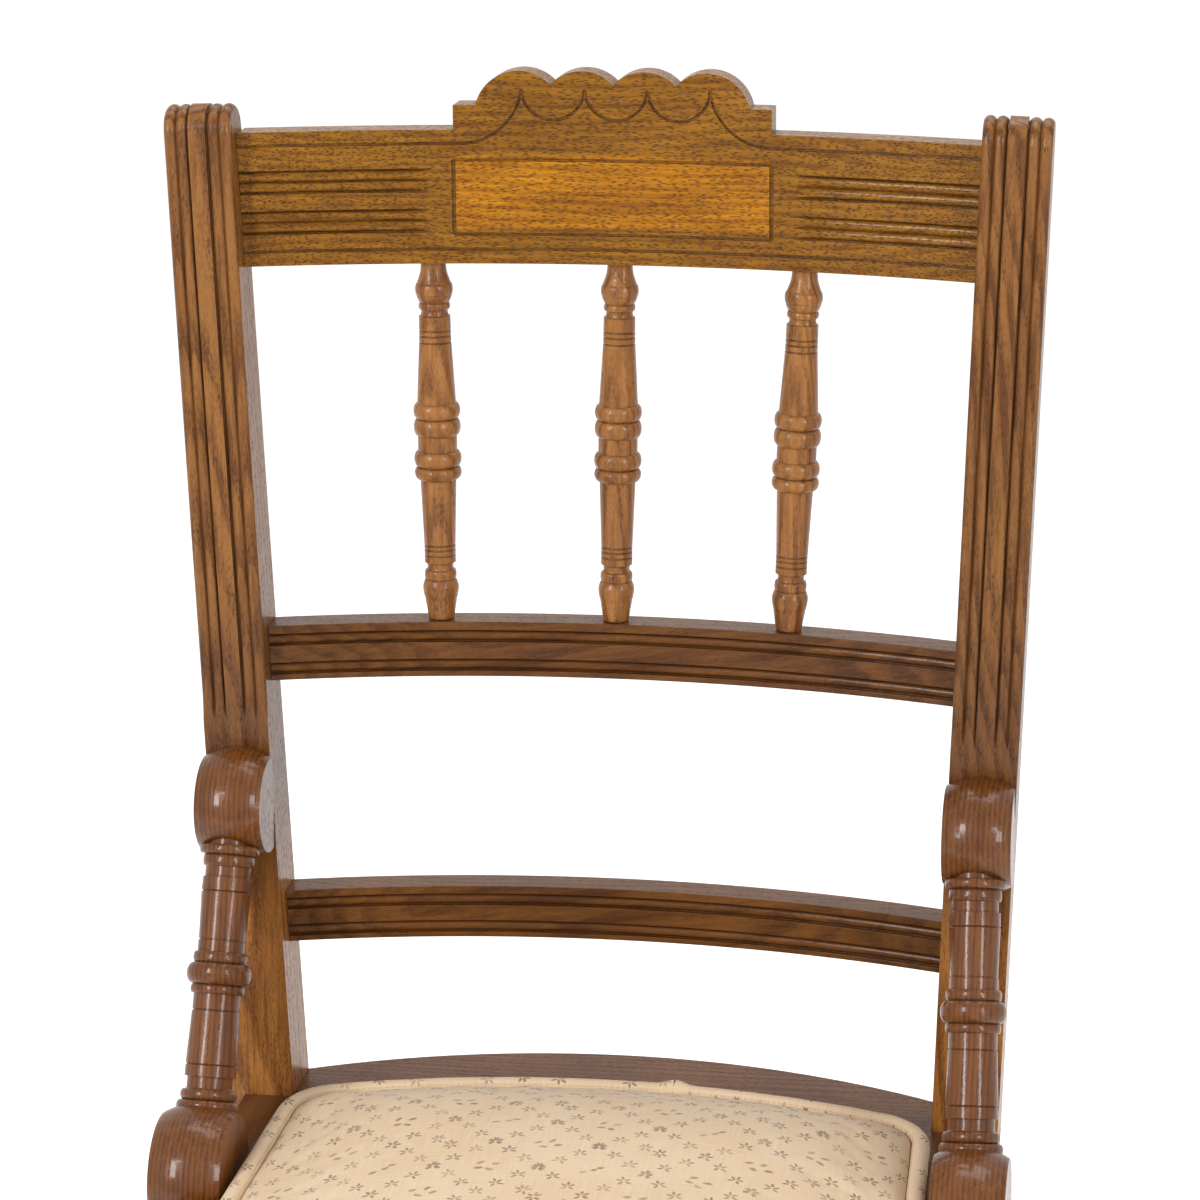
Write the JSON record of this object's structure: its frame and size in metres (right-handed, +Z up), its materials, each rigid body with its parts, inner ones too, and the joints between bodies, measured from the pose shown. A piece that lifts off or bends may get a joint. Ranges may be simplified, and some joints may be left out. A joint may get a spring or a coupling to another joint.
{
  "type": "dining side chair",
  "caption": "Oak pressed back dining chair with reeded posts, turned spindles, hip rests and a padded sprig cotton seat.",
  "frame": {"origin": "on the floor, under the middle of the bounding box", "axes": "+Z up, the sitter faces -Y, +X to the right in the picture, the chair's left side when seen by the sitter"},
  "size_m": [0.44, 0.442, 0.9641],
  "materials": {
    "oak_posts": "glossy varnish",
    "oak_crest": "glossy varnish",
    "oak_rails": "glossy varnish",
    "oak_turned": "glossy varnish",
    "oak_seat": "glossy varnish",
    "pale_board": "bare",
    "batting": "matte",
    "sprig_cotton": "matte woven cotton",
    "screw_steel": "dull"
  },
  "bodies": {
    "root": {"post_left": "oak_posts", "post_right": "oak_posts", "crest_rail": "oak_crest", "middle_rail": "oak_rails", "lower_rail": "oak_rails", "spindle_left": "oak_turned", "spindle_middle": "oak_turned", "spindle_right": "oak_turned", "hip_rest_left": "oak_turned", "hip_rest_right": "oak_turned", "seat_rail_back": "oak_seat", "seat_rail_front": "oak_seat", "seat_rail_left": "oak_seat", "seat_rail_right": "oak_seat", "front_leg_left": "oak_turned", "front_leg_right": "oak_turned", "front_stretcher_upper": "oak_turned", "front_stretcher_lower": "oak_turned", "side_stretcher_left_upper": "oak_turned", "side_stretcher_left_lower": "oak_turned", "side_stretcher_right_upper": "oak_turned", "side_stretcher_right_lower": "oak_turned", "back_stretcher": "oak_turned", "seat_board": "pale_board", "seat_stuffing": "batting", "seat_cover": "sprig_cotton", "seat_welt": "sprig_cotton", "frame_dowels": "pale_board", "post_screws": "screw_steel", "post_plugs": "oak_posts", "hip_rest_screws": "screw_steel", "seat_board_screws": "screw_steel"}
  },
  "joints": []
}
